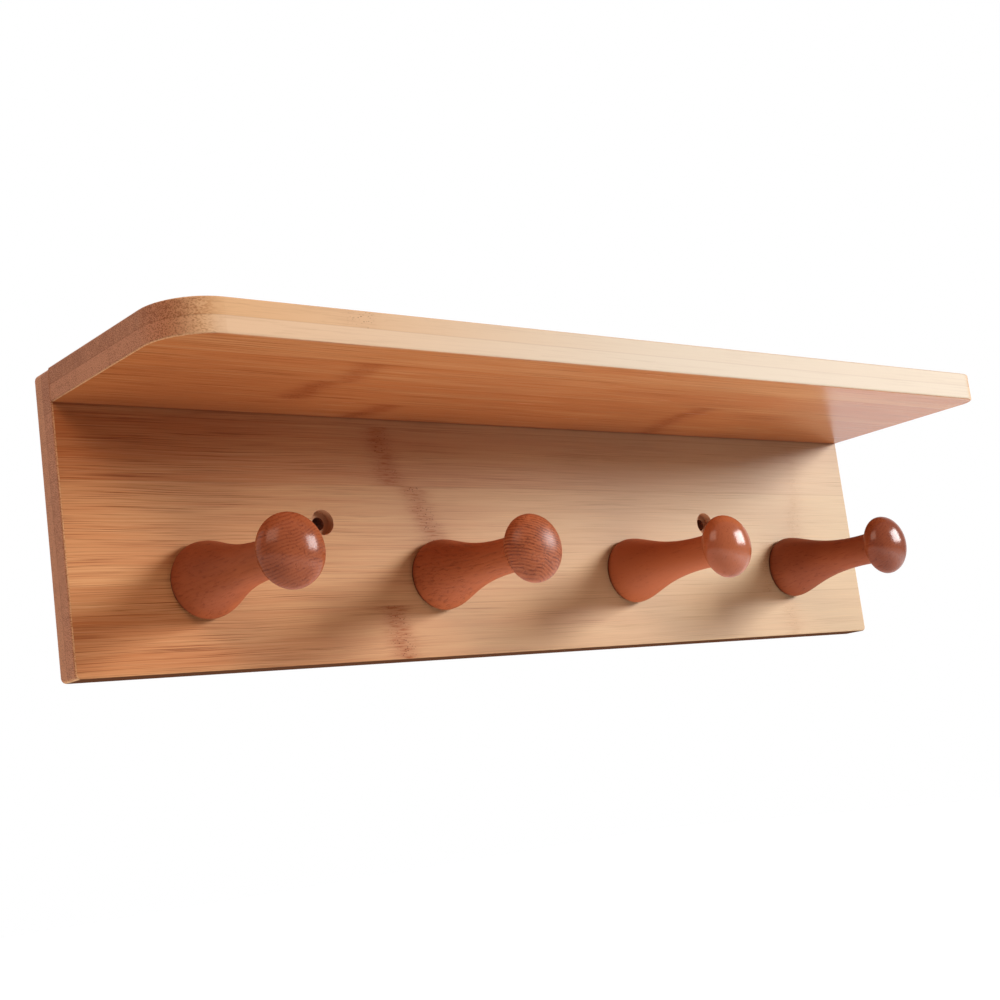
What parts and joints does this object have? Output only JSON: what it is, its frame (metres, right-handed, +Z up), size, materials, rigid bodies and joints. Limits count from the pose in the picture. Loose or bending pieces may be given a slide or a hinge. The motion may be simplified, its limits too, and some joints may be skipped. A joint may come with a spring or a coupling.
{
  "type": "shaker peg rail with shelf",
  "caption": "Wall rail of laminated bamboo with a shelf along its top and a row of turned, stained pegs with ball heads; it hangs on two screws through stepped holes.",
  "frame": {"origin": "centre of the two wall-screw holes, on the face that lies against the wall", "axes": "+X along the rail to the viewer's right, +Y into the wall, +Z up; the pegs point along -Y"},
  "size_m": [0.43, 0.1, 0.11],
  "materials": {
    "bamboo": "clear satin lacquer on carbonised bamboo",
    "stained_hardwood": "red-brown stain under semi-gloss lacquer",
    "zinc_steel": "bright zinc plate"
  },
  "bodies": {
    "root": {"board_front_ply": "bamboo", "board_rear_ply": "bamboo", "shelf_top_ply": "bamboo", "shelf_bottom_ply": "bamboo", "peg_1": "stained_hardwood", "peg_2": "stained_hardwood", "peg_3": "stained_hardwood", "peg_4": "stained_hardwood", "peg_screw_1": "zinc_steel", "peg_screw_2": "zinc_steel", "peg_screw_3": "zinc_steel", "peg_screw_4": "zinc_steel", "shelf_screw_1": "zinc_steel", "shelf_screw_2": "zinc_steel", "shelf_screw_3": "zinc_steel", "shelf_screw_4": "zinc_steel"}
  },
  "joints": []
}
